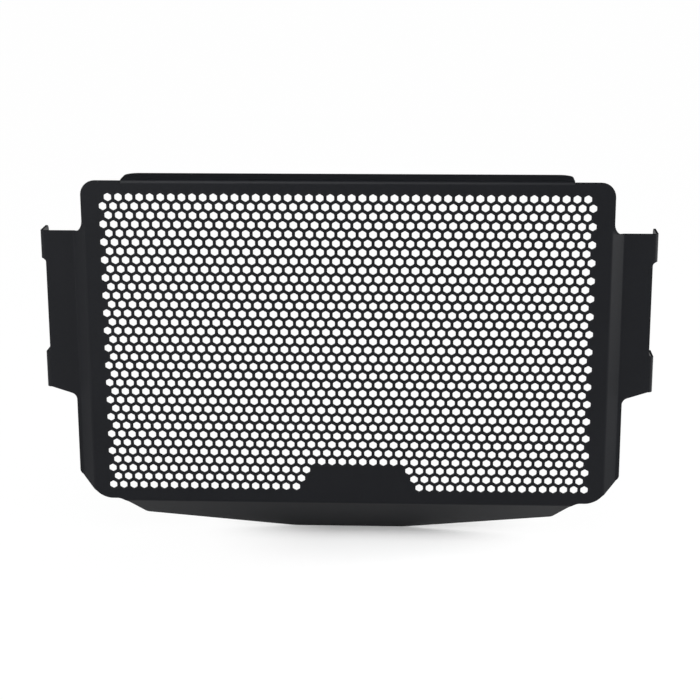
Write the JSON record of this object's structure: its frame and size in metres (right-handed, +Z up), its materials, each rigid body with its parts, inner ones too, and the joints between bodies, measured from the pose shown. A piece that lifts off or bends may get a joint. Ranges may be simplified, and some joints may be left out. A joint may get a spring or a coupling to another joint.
{
  "type": "motorcycle radiator guard",
  "caption": "Perforated folded sheet guard for a motorcycle radiator, with side wings, drilled side tabs, a top flange and a lower lip.",
  "frame": {"origin": "centre of the panel's back face, the face that looks at the radiator", "axes": "+X to the right as seen from the front, along the panel's width; +Y to the rear, away from the panel's back face; +Z up"},
  "size_m": [0.41, 0.0295, 0.2504],
  "materials": {
    "powder_coated_aluminium": "satin black powder coat on aluminium sheet"
  },
  "bodies": {
    "root": {"guard_sheet": "powder_coated_aluminium"}
  },
  "joints": []
}
